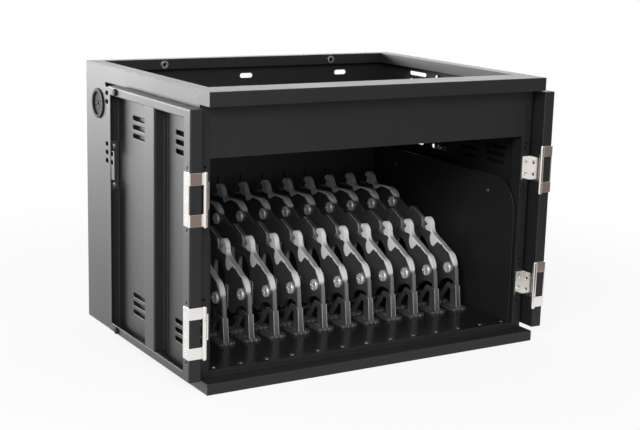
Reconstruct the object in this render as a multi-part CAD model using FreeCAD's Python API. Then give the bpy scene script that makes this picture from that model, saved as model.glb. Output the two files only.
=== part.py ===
import FreeCAD
import Part
import math
import os

# Charging cabinet: a folded sheet-steel case with an open top ring, two doors that fold right
# back along the sides, and a row of moulded dividers that keep tablets upright.
# Millimetres. Y is measured back from the front plane of the sill while the pieces are made;
# save() moves them so that the origin lies under the middle of the footprint.

V = FreeCAD.Vector
X_AXIS = V(1, 0, 0)
Y_AXIS = V(0, 1, 0)
Z_AXIS = V(0, 0, 1)

# Case
WIDTH = 500.0
DEPTH = 385.0
HEIGHT = 366.0
SHEET = 1.5
SILL_HEIGHT = 14.0
POST_WIDTH = 14.0
JAMB_DEPTH = 20.0
FLOOR_LEVEL = 21.6
HEADER_HEIGHT = 64.5
HEADER_FOLD = 16.0
SHELF_GAP = 4.0
SHELF_FLANGE = 15.0

# Top ring
RAIL_HEIGHT = 17.5
FRONT_RAIL_DEPTH = 45.0
SIDE_RAIL_WIDTH = 20.5
REAR_RAIL_WIDTH = 14.5
RAIL_LIP = 13.0
RIVET_NUT_INSET = 111.7
RIVET_NUT_FLANGE = 5.75
RIVET_NUT_BODY = 4.5
RIVET_NUT_BORE = 2.6
RIVET_NUT_RIM = 1.2
RIVET_NUT_LENGTH = 9.0

# Doors
DOOR_THICKNESS = 16.0
DOOR_SHEET = 1.2
DOOR_GAP = 2.5
CENTRE_GAP = 3.0
DOOR_LIP = 11.0
HINGE_LIP = 16.5
FREE_LIP = 8.0
STIFFENER_WIDTH = 30.0
STIFFENER_FLANGE = 10.0
BUMPER_INSET = 27.0
BUMPER_RADIUS = 4.5
BUMPER_HEIGHT = 3.2

# Hinges
UPPER_HINGE_DROP = 106.0
LOWER_HINGE_RISE = 61.5
HINGE_HEIGHT = 64.0
LEAF_HEIGHT = 33.0
LEAF = 1.5
KNUCKLE_RADIUS = 3.0
PIN_RADIUS = 1.6
PIN_FIT = 0.05
KNUCKLE_GAP = 0.3
WRAP_WIDTH = 15.5
LEAF_CLEARANCE = 0.85

# Lock
STRIKE_DROP = 105.0
STRIKE_HEIGHT = 66.0
STRIKE_WIDTH = 12.0
STRIKE_INSET = 2.0
STRIKE_SHEET = 2.0
STRIKE_RIVET = 2.0
STRIKE_RIVET_REACH = 26.0
CAM_SLOT_HEIGHT = 38.0
CAM_LENGTH = 34.0
CAM_WIDTH = 12.0
CAM_SHEET = 2.2
LOCK_INSET = 22.0
LOCK_BODY_RADIUS = 9.0
PLUG_RADIUS = 6.1

# Vents
VENT_HEIGHT = 6.0
VENT_PITCH = 11.5
SIDE_VENT_COLUMNS = 4
SIDE_VENT_FRONT = 98.0
SIDE_VENT_REAR = 90.5
SIDE_VENT_BRIDGE = 21.5
UPPER_VENT_DROP = 37.0
LOWER_VENT_DROP = 35.5
DOOR_VENT_LENGTH = 40.0
DOOR_VENT_FRONT = 51.0
DOOR_VENT_REAR = 67.5
DOOR_VENT_INSET = 47.75

# Liners, floor and rear slots
LINER_GAP = 18.0
LINER_ABOVE = 39.0
LINER_FRONT = 30.0
LINER_CORNER = 48.0
LINER_FOOT = 10.0
LINER_SCREW_FRONT = 60.0
LINER_SCREW_REAR = 57.0
LINER_SCREW_DROP = 24.0
LANCE_PITCH = 28.0
STANDOFF_RADIUS = 5.0
BACK_LINER_GAP = 5.0
BACK_SLOT_INSET = 86.0
BACK_SLOT_LENGTH = 21.0
BACK_SLOT_HEIGHT = 7.0
BACK_SLOT_DROP = 29.0
CABLE_SLOT_MARGIN = 25.0
CABLE_SLOT_BRIDGE = 30.0
CABLE_SLOT_WIDTH = 20.0
CABLE_SLOT_INSET = 40.0
GROMMET_INSET = 44.0
GROMMET_DROP = 54.0
GROMMET_RADIUS = 18.0

# Dividers
DIVIDER_COUNT = 12
DIVIDER_HEIGHT = 161.4
OUTLINE_HEIGHT = 161.4
END_BAY = 26.3
DIVIDER_PLATE = 5.2
DIVIDER_RIM = 0.8
DIVIDER_LENGTH = 271.0
DIVIDER_FOOT_WIDTH = 26.0
DIVIDER_FOOT_CORNER = 6.0
DIVIDER_FOOT = 3.0
TAIL_LEVEL = 133.4
TAIL_SCREW_REACH = 6.0
BOLT_RADIUS = 8.0
BOLT_HEAD = 3.4
BOLT_SHANK = 4.0
BOLT_BOSS = 0.4
BOLT_SEATS = ((28.9, 56.9), (177.4, 126.6))
FLOOR_RIVET_PLACE = 36.0
FLOOR_RIVET_SHANK = 1.8
LANCE_LEVEL = 159.4

# Outlet strip
STRIP_MARGIN = 50.0
STRIP_FRONT = 92.0
STRIP_WIDTH = 46.0
STRIP_HEIGHT = 30.0
STRIP_END = 24.0

# Small fasteners
SCREW_HEAD = 3.2
SCREW_SHANK = 1.75
SCREW_LENGTH = 6.0
HOLE_FIT = 0.05

# Values that follow from the driving sizes
HALF = WIDTH / 2
CORNER = KNUCKLE_RADIUS - 0.25
AXIS_X = HALF + CORNER
AXIS_Y = KNUCKLE_RADIUS + 0.2
POST_FACE = AXIS_Y + CORNER + DOOR_THICKNESS + 2 * LEAF + LEAF_CLEARANCE
OPENING_HALF = HALF - POST_WIDTH
RAIL_BOTTOM = HEIGHT - RAIL_HEIGHT
HEADER_LEVEL = RAIL_BOTTOM - HEADER_HEIGHT
SHELF_LEVEL = HEADER_LEVEL + SHELF_GAP
DOOR_BOTTOM = SILL_HEIGHT + DOOR_GAP
DOOR_TOP = RAIL_BOTTOM - DOOR_GAP
DOOR_WIDTH = HALF - CENTRE_GAP / 2
DOOR_EDGE = CORNER + DOOR_WIDTH
DOOR_INSIDE = CORNER + DOOR_THICKNESS
HINGE_LEVELS = (DOOR_BOTTOM + LOWER_HINGE_RISE, DOOR_TOP - UPPER_HINGE_DROP)
DOOR_VENT_PLACES = (DOOR_VENT_FRONT, DOOR_WIDTH - DOOR_VENT_REAR)
DOOR_VENT_LEVELS = (DOOR_BOTTOM + DOOR_VENT_INSET, DOOR_TOP - DOOR_VENT_INSET)
STIFFENER_PLACE = sum(DOOR_VENT_PLACES) / 2
STRIKE_LEVEL = DOOR_TOP - STRIKE_DROP
LOCK_PLACE = DOOR_EDGE - LOCK_INSET
LOCK_LEVEL = STRIKE_LEVEL - (CAM_SLOT_HEIGHT / 2 - 8.0)
CAM_PLANE = CORNER + 10.2
BACK_LINER_FACE = DEPTH - SHEET - BACK_LINER_GAP
LINER_REAR = BACK_LINER_FACE - SHEET
LINER_FACE = HALF - LINER_GAP
LINER_TOP = FLOOR_LEVEL + DIVIDER_HEIGHT + LINER_ABOVE
LINER_SCREW_PLACES = (LINER_FRONT + LINER_SCREW_FRONT, LINER_REAR - LINER_SCREW_REAR)
LINER_SCREW_LEVEL = LINER_TOP - LINER_SCREW_DROP
DIVIDER_PITCH = 2 * (LINER_FACE - END_BAY) / (DIVIDER_COUNT - 1)
SIDE_VENT_PITCH = (DEPTH - SIDE_VENT_FRONT - SIDE_VENT_REAR) / (SIDE_VENT_COLUMNS - 1)
SIDE_VENT_LENGTH = SIDE_VENT_PITCH - SIDE_VENT_BRIDGE
SIDE_VENT_LEVELS = (HEADER_LEVEL - LOWER_VENT_DROP, HEIGHT - UPPER_VENT_DROP)
BACK_SLOT_PITCH = HALF - BACK_SLOT_INSET
CABLE_SLOT_PITCH = (WIDTH - 2 * CABLE_SLOT_MARGIN) / 3
GROMMET_PLACE = DEPTH - GROMMET_INSET
GROMMET_LEVEL = HEIGHT - GROMMET_DROP


def box(x0, x1, y0, y1, z0, z1):
    return Part.makeBox(x1 - x0, y1 - y0, z1 - z0, V(x0, y0, z0))


def rod(base, direction, radius, length):
    return Part.makeCylinder(radius, length, base, direction)


def fuse(pieces):
    joined = pieces[0].fuse(pieces[1:]) if len(pieces) > 1 else pieces[0]
    return joined.removeSplitter()


def mirrored(shape):
    return shape.mirror(V(0, 0, 0), X_AXIS)


def obround(centre, along, up, length, height, depth):
    """A slot-shaped prism: length along one direction, its depth centred across the sheet."""
    flat = (length - height) / 2
    radius = height / 2
    low = Part.makeLine(V(-flat, -radius, 0), V(flat, -radius, 0))
    right = Part.Arc(V(flat, -radius, 0), V(flat + radius, 0, 0), V(flat, radius, 0)).toShape()
    high = Part.makeLine(V(flat, radius, 0), V(-flat, radius, 0))
    left = Part.Arc(V(-flat, radius, 0), V(-flat - radius, 0, 0), V(-flat, -radius, 0)).toShape()
    prism = Part.Face(Part.Wire([low, right, high, left])).extrude(V(0, 0, depth))
    prism.translate(V(0, 0, -depth / 2))
    turn = FreeCAD.Rotation(along, up, along.cross(up), "ZXY")
    prism.Placement = FreeCAD.Placement(centre, turn).multiply(prism.Placement)
    return prism


def screw(seat, direction, head_radius, shank_radius, length):
    """A countersunk cross-slotted screw; its flat head lies at the seat, its shank runs along direction."""
    sink = head_radius - shank_radius
    cone = Part.makeCone(head_radius, shank_radius, sink, seat, direction)
    shank = rod(seat + direction * sink, direction, shank_radius, length - sink)
    side = Z_AXIS.cross(direction)
    cuts = [
        obround(seat, along, direction.cross(along), head_radius, 0.7, 1.2)
        for along in (Z_AXIS, side)
    ]
    return fuse([cone, shank]).cut(cuts)


def screw_seat(seat, direction, head_radius, shank_radius, length):
    """The countersunk hole that such a screw sits in."""
    sink = head_radius - shank_radius
    wide = Part.makeCone(head_radius + HOLE_FIT, shank_radius + HOLE_FIT, sink, seat, direction)
    through = rod(seat + direction * sink, direction, shank_radius + HOLE_FIT, length)
    entry = rod(seat - direction, direction, head_radius + HOLE_FIT, 1.0)
    return wide.fuse([through, entry])


def save(name, shape):
    moved = shape.copy()
    moved.translate(V(0, -DEPTH / 2, 0))
    moved.exportStep("parts/" + name + ".step")


def divider_places():
    middle = (DIVIDER_COUNT - 1) / 2
    return [(i - middle) * DIVIDER_PITCH for i in range(DIVIDER_COUNT)]


# Case shell

def base_pan():
    """Bottom sheet with flanges turned up inside the walls."""
    inside = HALF - SHEET
    top = SILL_HEIGHT - SHEET
    back = DEPTH - SHEET
    start = POST_FACE + JAMB_DEPTH
    bottom = box(-HALF, HALF, 0, DEPTH, 0, SHEET)
    left = box(-inside, -inside + SHEET, start, back - SHEET, SHEET, top)
    rear = box(-inside, inside, back - SHEET, back, SHEET, top)
    return fuse([bottom, left, mirrored(left), rear])


def front_sill():
    """Folded threshold: front face, tread and the riser that carries the floor's front edge."""
    face = box(-HALF, HALF, 0, SHEET, SHEET, SILL_HEIGHT)
    tread = box(-HALF, HALF, 0, POST_FACE + SHEET, SILL_HEIGHT - SHEET, SILL_HEIGHT)
    riser = box(-OPENING_HALF, OPENING_HALF, POST_FACE, POST_FACE + SHEET,
                SILL_HEIGHT - SHEET, FLOOR_LEVEL - SHEET)
    end = box(-HALF, -HALF + SHEET, 0, POST_FACE + SHEET, SHEET, SILL_HEIGHT)
    sill = fuse([face, tread, riser, end, mirrored(end)])
    nose = [e for e in sill.Edges if abs(e.BoundBox.YMax) < 0.01 and e.BoundBox.ZMin > SILL_HEIGHT - 0.01]
    return sill.makeFillet(1.0, nose)


def side_vents(face):
    cuts = []
    for level in SIDE_VENT_LEVELS:
        for row in (-1, 0, 1):
            for column in range(SIDE_VENT_COLUMNS):
                place = SIDE_VENT_FRONT + column * SIDE_VENT_PITCH
                centre = V(face, place, level + row * VENT_PITCH)
                cuts.append(obround(centre, Y_AXIS, Z_AXIS, SIDE_VENT_LENGTH, VENT_HEIGHT, 4 * SHEET))
    return cuts


def left_wall():
    """Side sheet with its two groups of vent rows."""
    wall = box(-HALF, -HALF + SHEET, POST_FACE + SHEET, DEPTH, SHEET, HEIGHT - SHEET)
    return wall.cut(side_vents(-HALF + SHEET / 2))


def back_panel():
    """Back sheet with three wall-fixing slots near the top."""
    inside = HALF - SHEET
    sheet = box(-inside, inside, DEPTH - SHEET, DEPTH, SHEET, HEIGHT - SHEET)
    cuts = [
        obround(V(step * BACK_SLOT_PITCH, DEPTH - SHEET / 2, HEIGHT - BACK_SLOT_DROP), X_AXIS, Z_AXIS,
                BACK_SLOT_LENGTH, BACK_SLOT_HEIGHT, 4 * SHEET)
        for step in (-1, 0, 1)
    ]
    return sheet.cut(cuts)


def front_rail():
    """Front member of the top ring: fascia, deep top, closed underside over the doors, rear lip."""
    top_under = HEIGHT - SHEET
    fascia = box(-HALF, HALF, 0, SHEET, RAIL_BOTTOM, HEIGHT)
    top = box(-HALF, HALF, 0, FRONT_RAIL_DEPTH, top_under, HEIGHT)
    under = box(-HALF, HALF, 0, POST_FACE + SHEET, RAIL_BOTTOM, RAIL_BOTTOM + SHEET)
    lip_end = HALF - SIDE_RAIL_WIDTH
    lip = box(-lip_end, lip_end, FRONT_RAIL_DEPTH - SHEET, FRONT_RAIL_DEPTH, top_under - RAIL_LIP, top_under)
    end = box(-HALF, -HALF + SHEET, 0, POST_FACE + SHEET, RAIL_BOTTOM, HEIGHT)
    rail = fuse([fascia, top, under, lip, end, mirrored(end)])
    nose = [e for e in rail.Edges if abs(e.BoundBox.YMax) < 0.01 and e.BoundBox.ZMin > HEIGHT - 0.01]
    return rail.makeFillet(1.0, nose)


def left_rail():
    """Side member of the top ring, between the front and rear members."""
    top_under = HEIGHT - SHEET
    inner = -HALF + SIDE_RAIL_WIDTH
    rear = DEPTH - REAR_RAIL_WIDTH
    top = box(-HALF, inner, FRONT_RAIL_DEPTH, rear, top_under, HEIGHT)
    lip = box(inner - SHEET, inner, FRONT_RAIL_DEPTH, rear, top_under - RAIL_LIP, top_under)
    return fuse([top, lip])


def rivet_nut_seats():
    level = HEIGHT - SHEET - RAIL_LIP / 2
    face = DEPTH - REAR_RAIL_WIDTH
    return [V(side * (HALF - RIVET_NUT_INSET), face, level) for side in (-1, 1)]


def rear_rail():
    """Rear member of the top ring; its lip is pierced for two rivet nuts."""
    top_under = HEIGHT - SHEET
    face = DEPTH - REAR_RAIL_WIDTH
    inner = HALF - SIDE_RAIL_WIDTH
    top = box(-HALF, HALF, face, DEPTH, top_under, HEIGHT)
    lip = box(-inner, inner, face, face + SHEET, top_under - RAIL_LIP, top_under)
    holes = [rod(seat - Y_AXIS, Y_AXIS, RIVET_NUT_BODY, 4.0) for seat in rivet_nut_seats()]
    return fuse([top, lip]).cut(holes)


def rivet_nuts():
    nuts = []
    for seat in rivet_nut_seats():
        flange = rod(seat - Y_AXIS * RIVET_NUT_RIM, Y_AXIS, RIVET_NUT_FLANGE, RIVET_NUT_RIM)
        body = rod(seat, Y_AXIS, RIVET_NUT_BODY, RIVET_NUT_LENGTH)
        bulge = rod(seat + Y_AXIS * SHEET, Y_AXIS, RIVET_NUT_BODY + 0.9, 2.4)
        start = seat - Y_AXIS * 2 * RIVET_NUT_RIM
        bore = rod(start, Y_AXIS, RIVET_NUT_BORE, RIVET_NUT_LENGTH + 4 * RIVET_NUT_RIM)
        nuts.append(fuse([flange, body, bulge]).cut(bore))
    return Part.makeCompound(nuts)


def header_panel():
    """Fixed fascia above the opening with a stiffening return along its lower edge."""
    face = box(-OPENING_HALF, OPENING_HALF, POST_FACE, POST_FACE + SHEET, HEADER_LEVEL, RAIL_BOTTOM)
    fold = box(-OPENING_HALF + SHEET, OPENING_HALF - SHEET, POST_FACE, POST_FACE + HEADER_FOLD,
               HEADER_LEVEL, HEADER_LEVEL + SHEET)
    return fuse([face, fold])


def left_post():
    """Front post: the face that carries the hinges and the jamb turned back into the case."""
    inner = -OPENING_HALF
    face = box(-HALF, inner, POST_FACE, POST_FACE + SHEET, SILL_HEIGHT, RAIL_BOTTOM)
    jamb = box(inner - SHEET, inner, POST_FACE, POST_FACE + JAMB_DEPTH, FLOOR_LEVEL, HEADER_LEVEL)
    holes = []
    for level in HINGE_LEVELS:
        for seat in leaf_screw_seats(level):
            holes.append(rod(seat, Y_AXIS, SCREW_SHANK + HOLE_FIT, 6.0))
        for reach in (-26.0, 26.0, 34.0):
            place = V((-HALF + inner) / 2, POST_FACE - 1, level + reach)
            holes.append(rod(place, Y_AXIS, 1.6, 4.0))
    return fuse([face, jamb]).cut(holes)


def device_floor():
    """Raised floor on the riser in front and on its own turned-down rear flange."""
    half = HALF - 2 * SHEET - 0.5
    under = FLOOR_LEVEL - SHEET
    rear = LINER_REAR
    plate = box(-half, half, POST_FACE + JAMB_DEPTH, rear, under, FLOOR_LEVEL)
    nose = box(-OPENING_HALF, OPENING_HALF, POST_FACE, POST_FACE + JAMB_DEPTH, under, FLOOR_LEVEL)
    flange = box(-half + LINER_FOOT, half - LINER_FOOT, rear - SHEET, rear, SHEET, under)
    holes = [rod(V(x, FLOOR_RIVET_PLACE, 0), Z_AXIS, FLOOR_RIVET_SHANK, 2 * FLOOR_LEVEL)
             for x in floor_rivet_places()]
    return fuse([plate, nose, flange]).cut(holes)


def floor_rivet_places():
    return [(i - DIVIDER_COUNT / 2) * DIVIDER_PITCH for i in range(DIVIDER_COUNT + 1)]


def floor_rivets():
    rivets = []
    for x in floor_rivet_places():
        seat = V(x, FLOOR_RIVET_PLACE, FLOOR_LEVEL)
        dome = Part.makeSphere(4.5, seat - Z_AXIS * 3.2, Z_AXIS, 45, 90, 360)
        cap = dome.common(rod(seat, Z_AXIS, 4.0, 3.0))
        shank = rod(seat - Z_AXIS * 4, Z_AXIS, FLOOR_RIVET_SHANK, 4.0)
        rivets.append(fuse([cap, shank]))
    return Part.makeCompound(rivets)


# Inner liners

def left_liner():
    """Side liner with a rounded front shoulder, a foot flange and two lanced fixing straps."""
    face = -LINER_FACE
    shoulder = LINER_TOP - LINER_CORNER
    bend = LINER_FRONT + LINER_CORNER
    middle = LINER_CORNER * (1 - math.sqrt(0.5))
    outline = [
        Part.makeLine(V(face, LINER_FRONT, FLOOR_LEVEL), V(face, LINER_FRONT, shoulder)),
        Part.Arc(V(face, LINER_FRONT, shoulder), V(face, LINER_FRONT + middle, LINER_TOP - middle),
                 V(face, bend, LINER_TOP)).toShape(),
        Part.makeLine(V(face, bend, LINER_TOP), V(face, LINER_REAR, LINER_TOP)),
        Part.makeLine(V(face, LINER_REAR, LINER_TOP), V(face, LINER_REAR, FLOOR_LEVEL)),
        Part.makeLine(V(face, LINER_REAR, FLOOR_LEVEL), V(face, LINER_FRONT, FLOOR_LEVEL)),
    ]
    sheet = Part.Face(Part.Wire(outline)).extrude(V(-SHEET, 0, 0))
    foot = box(face - LINER_FOOT, face, POST_FACE + JAMB_DEPTH + 2, LINER_REAR,
               FLOOR_LEVEL, FLOOR_LEVEL + SHEET)
    cuts = []
    for place in LINER_SCREW_PLACES:
        cuts.append(rod(V(face - 5, place, LINER_SCREW_LEVEL), X_AXIS, SCREW_SHANK + HOLE_FIT, 10.0))
        for side in (-1, 1):
            centre = V(face, place + side * LANCE_PITCH / 2, LINER_SCREW_LEVEL)
            cuts.append(obround(centre, Z_AXIS, Y_AXIS, 13.0, 2.0, 4 * SHEET))
    return fuse([sheet, foot]).cut(cuts)


def liner_screws():
    """Pan-head screws through both liners."""
    screws = []
    for place in LINER_SCREW_PLACES:
        seat = V(-LINER_FACE, place, LINER_SCREW_LEVEL)
        screws.append(pan_screw(seat, -X_AXIS, 3.4, 1.9, 11.0))
    return Part.makeCompound(screws + [mirrored(s) for s in screws])


def pan_screw(seat, direction, head_radius, head_height, length):
    """A low round head on the face at seat, cross-slotted, with its shank running into the sheet."""
    head = rod(seat - direction * head_height, direction, head_radius, head_height)
    rim = [e for e in head.Edges if e.Curve.TypeId == "Part::GeomCircle"
           and abs((e.Curve.Center - seat).dot(direction)) > head_height / 2]
    head = head.makeFillet(head_height * 0.55, rim)
    shank = rod(seat, direction, SCREW_SHANK, length)
    crown = seat - direction * head_height
    side = Z_AXIS.cross(direction)
    cuts = [
        obround(crown, along, direction.cross(along), head_radius * 1.2, head_radius * 0.24, head_height)
        for along in (Z_AXIS, side)
    ]
    return fuse([head, shank]).cut(cuts)


def liner_standoffs():
    """Bushes that hold the liners off the case walls."""
    bushes = []
    for place in LINER_SCREW_PLACES:
        base = V(-HALF + SHEET, place, LINER_SCREW_LEVEL)
        length = HALF - SHEET - LINER_FACE - SHEET
        bore = rod(base, X_AXIS, SCREW_SHANK + HOLE_FIT, length)
        bushes.append(rod(base, X_AXIS, STANDOFF_RADIUS, length).cut(bore))
    return Part.makeCompound(bushes + [mirrored(b) for b in bushes])


def back_liner():
    """Rear liner with a lanced slot and a fixing hole behind every divider."""
    side = LINER_FACE - SHEET - 1.0
    sheet = box(-side, side, BACK_LINER_FACE - SHEET, BACK_LINER_FACE, FLOOR_LEVEL - 8, LINER_TOP)
    fold = box(-side, side, BACK_LINER_FACE, DEPTH - SHEET, LINER_TOP - SHEET, LINER_TOP)
    cuts = []
    for x in divider_places():
        slot_centre = V(x + 8.0, BACK_LINER_FACE, FLOOR_LEVEL + divider_level(LANCE_LEVEL))
        cuts.append(obround(slot_centre, Z_AXIS, X_AXIS, 18.0, 2.0, 4 * SHEET))
        seat = V(x, BACK_LINER_FACE - 4, FLOOR_LEVEL + divider_level(TAIL_LEVEL))
        cuts.append(rod(seat, Y_AXIS, SCREW_SHANK + HOLE_FIT, 8.0))
    return fuse([sheet, fold]).cut(cuts)


# Upper compartment

def equipment_shelf():
    """Tray that divides the charger space from the tablets, with a row of cable openings."""
    side = HALF - SHEET
    front = POST_FACE + SHEET
    rear = DEPTH - SHEET
    flange_end = GROMMET_PLACE - GROMMET_RADIUS - 8.0
    plate = box(-side, side, front, rear, SHELF_LEVEL, SHELF_LEVEL + SHEET)
    left = box(-side, -side + SHEET, front, flange_end, SHELF_LEVEL, SHELF_LEVEL + SHELF_FLANGE)
    cuts = [
        obround(V(step * CABLE_SLOT_PITCH, rear - CABLE_SLOT_INSET, SHELF_LEVEL), X_AXIS, Y_AXIS,
                CABLE_SLOT_PITCH - CABLE_SLOT_BRIDGE, CABLE_SLOT_WIDTH, 4 * SHEET)
        for step in (-1, 0, 1)
    ]
    return fuse([plate, left, mirrored(left)]).cut(cuts)


def outlet_strip():
    """Plain folded metal power strip, open below, with a row of earthed outlets along its top."""
    half = HALF - STRIP_MARGIN
    base = SHELF_LEVEL + SHEET
    top = base + STRIP_HEIGHT
    rear = STRIP_FRONT + STRIP_WIDTH
    body = box(-half, half, STRIP_FRONT, rear, base, top)
    body = body.makeFillet(3.0, [e for e in body.Edges if e.BoundBox.ZMin > top - 0.01])
    hollow = box(-half + SHEET, half - SHEET, STRIP_FRONT + SHEET, rear - SHEET, base - 1, top - 2 * SHEET)
    cuts = [hollow]
    middle = STRIP_FRONT + STRIP_WIDTH / 2
    pitch = 2 * (half - STRIP_END) / (DIVIDER_COUNT - 1)
    for i in range(DIVIDER_COUNT):
        x = -half + STRIP_END + i * pitch
        for side in (-1, 1):
            centre = x + side * 6.3
            cuts.append(box(centre - 1, centre + 1, middle - 1, middle + 7, top - 5, top + 1))
        cuts.append(rod(V(x, middle - 7, top - 5), Z_AXIS, 2.6, 6.0))
    return body.cut(cuts)


# Dividers, in a frame at the front of the leg on the floor

def divider_level(drawn):
    """Height on the divider of a point that is drawn on an outline OUTLINE_HEIGHT high."""
    return drawn * DIVIDER_HEIGHT / OUTLINE_HEIGHT


def drawn_points(points):
    return [V(0, y, divider_level(z)) for y, z in points]


def arc_to(points):
    """An arc through three points of the divider's plane."""
    return Part.Arc(*drawn_points(points)).toShape()


def chain(points):
    """Straight edges along points of the divider's plane."""
    placed = drawn_points(points)
    return [Part.makeLine(a, b) for a, b in zip(placed, placed[1:])]


def bolt_seats():
    return [(y, divider_level(z)) for y, z in BOLT_SEATS]


def slab(edges, low, high):
    """A closed outline of the divider's plane, thickened between two places along X."""
    solid = Part.Face(Part.Wire(edges)).extrude(V(high - low, 0, 0))
    solid.translate(V(low, 0, 0))
    return solid


def front_comb():
    """Upper edge of the front half, from the shoulder over the hooked head to its heel."""
    edges = [arc_to([(14.6, 62.0), (17.2, 71.4), (24.0, 79.0)])]
    edges += chain([(24.0, 79.0), (32.3, 81.9), (49.2, 90.7), (59.6, 94.8), (68.0, 99.2)])
    edges.append(arc_to([(68.0, 99.2), (72.4, 103.6), (74.0, 108.4)]))
    edges.append(arc_to([(74.0, 108.4), (76.6, 116.2), (83.0, 120.4)]))
    edges.append(arc_to([(83.0, 120.4), (88.8, 119.4), (91.0, 114.6)]))
    return edges + chain([(91.0, 114.6), (86.6, 112.8), (83.4, 110.2), (88.0, 107.0), (88.2, 103.2)])


def rear_comb():
    """The same edge on the higher rear half."""
    edges = [arc_to([(166.9, 135.5), (172.5, 141.6), (180.0, 146.0)])]
    edges += chain([(180.0, 146.0), (186.5, 147.8), (206.0, 147.0), (222.0, 145.6)])
    edges.append(arc_to([(222.0, 145.6), (229.5, 146.4), (233.5, 150.0)]))
    edges.append(arc_to([(233.5, 150.0), (238.4, 157.6), (246.0, 161.4)]))
    edges.append(arc_to([(246.0, 161.4), (253.8, 158.2), (256.0, 155.0)]))
    return edges + chain([(256.0, 155.0), (252.0, 152.6), (248.6, 150.6), (251.6, 147.6), (251.4, 144.6)])


def divider_outline():
    """The side view: leaning front leg, comb edge with two heads, rear tail, arched underside."""
    ground = DIVIDER_FOOT / 2
    tail = DIVIDER_LENGTH
    edges = chain([(4.5, ground), (8.6, 34.0), (11.6, 58.0), (14.6, 62.0)])
    edges += front_comb()
    edges.append(arc_to([(88.2, 103.2), (92.0, 100.4), (96.0, 105.0)]))
    edges.append(arc_to([(96.0, 105.0), (97.2, 114.8), (101.9, 119.8)]))
    edges += chain([(101.9, 119.8), (121.0, 128.3)])
    edges.append(arc_to([(121.0, 128.3), (130.1, 127.9), (134.4, 122.9)]))
    edges += chain([(134.4, 122.9), (142.9, 123.7), (157.0, 130.5), (166.9, 135.5)])
    edges += rear_comb()
    edges.append(arc_to([(251.4, 144.6), (253.6, 142.2), (257.0, 141.4)]))
    edges += chain([(257.0, 141.4), (tail, 141.4), (tail, 125.4), (239.0, 118.4)])
    edges.append(arc_to([(239.0, 118.4), (194.0, 104.4), (154.0, 98.4)]))
    edges.append(arc_to([(154.0, 98.4), (144.0, 92.4), (140.0, 78.4)]))
    edges += chain([(140.0, 78.4), (136.0, ground), (112.0, ground), (110.0, 76.4)])
    edges.append(arc_to([(110.0, 76.4), (102.0, 89.4), (90.0, 86.4)]))
    edges.append(arc_to([(90.0, 86.4), (81.0, 77.4), (78.0, 64.4)]))
    edges += chain([(78.0, 64.4), (77.0, 25.4), (57.0, 23.4)])
    edges.append(arc_to([(57.0, 23.4), (38.0, 38.4), (26.0, 41.9)]))
    edges += chain([(26.0, 41.9), (15.0, 39.4), (11.0, ground), (4.5, ground)])
    return edges


def front_rim():
    """Raised rim under the front comb edge: head, hanging tongue, stepped strip and lens at the shoulder."""
    edges = front_comb()
    edges += chain([(88.2, 103.2), (84.7, 100.8), (78.3, 101.0), (73.6, 98.8)])
    edges.append(arc_to([(73.6, 98.8), (76.0, 90.0), (72.4, 82.0)]))
    edges.append(arc_to([(72.4, 82.0), (67.6, 80.4), (63.2, 83.8)]))
    edges += chain([(63.2, 83.8), (56.0, 89.4), (50.7, 87.0), (45.0, 87.2), (44.4, 85.2), (38.4, 82.4),
                    (31.9, 79.4), (29.2, 79.6)])
    edges.append(arc_to([(29.2, 79.6), (24.4, 72.2), (14.6, 62.0)]))
    return edges


def rear_rim():
    """The same raised rim under the rear comb edge."""
    edges = rear_comb()
    edges += chain([(251.4, 144.6), (242.8, 143.0), (233.0, 143.4)])
    edges.append(arc_to([(233.0, 143.4), (229.6, 137.8), (222.0, 138.8)]))
    edges += chain([(222.0, 138.8), (209.0, 145.0), (200.0, 144.6), (197.0, 145.4), (196.4, 144.0), (187.4, 144.0)])
    edges.append(arc_to([(187.4, 144.0), (180.0, 138.6), (166.9, 135.5)]))
    return edges


def strap_outline():
    """Bent strap under the front arch, standing on the feet with its two legs."""
    ground = DIVIDER_FOOT / 2
    edges = chain([(16.5, ground), (16.5, 28.0)])
    edges.append(arc_to([(16.5, 28.0), (17.6, 31.4), (21.0, 33.2)]))
    edges += chain([(21.0, 33.2), (31.0, 34.6), (58.0, ground), (50.0, ground), (30.0, 27.6), (22.0, 26.4),
                    (22.0, ground), (16.5, ground)])
    return edges


def upper_post():
    """Rib down the front of the leg, below the shoulder."""
    ground = DIVIDER_FOOT / 2
    return chain([(5.4, ground), (9.5, 34.0), (12.5, 58.0), (17.0, 58.0), (14.5, 34.0), (10.6, ground), (5.4, ground)])


def lower_post():
    """Wider socket round the lower half of the leg."""
    ground = DIVIDER_FOOT / 2
    return chain([(4.0, ground), (8.0, 34.0), (15.0, 34.0), (11.6, ground), (4.0, ground)])


def rounded_foot(front, rear):
    half = DIVIDER_FOOT_WIDTH / 2
    foot = box(-half, half, front, rear, 0, DIVIDER_FOOT)
    corners = [e for e in foot.Edges if e.BoundBox.ZLength > DIVIDER_FOOT - 0.01]
    return foot.makeFillet(DIVIDER_FOOT_CORNER, corners)


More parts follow.
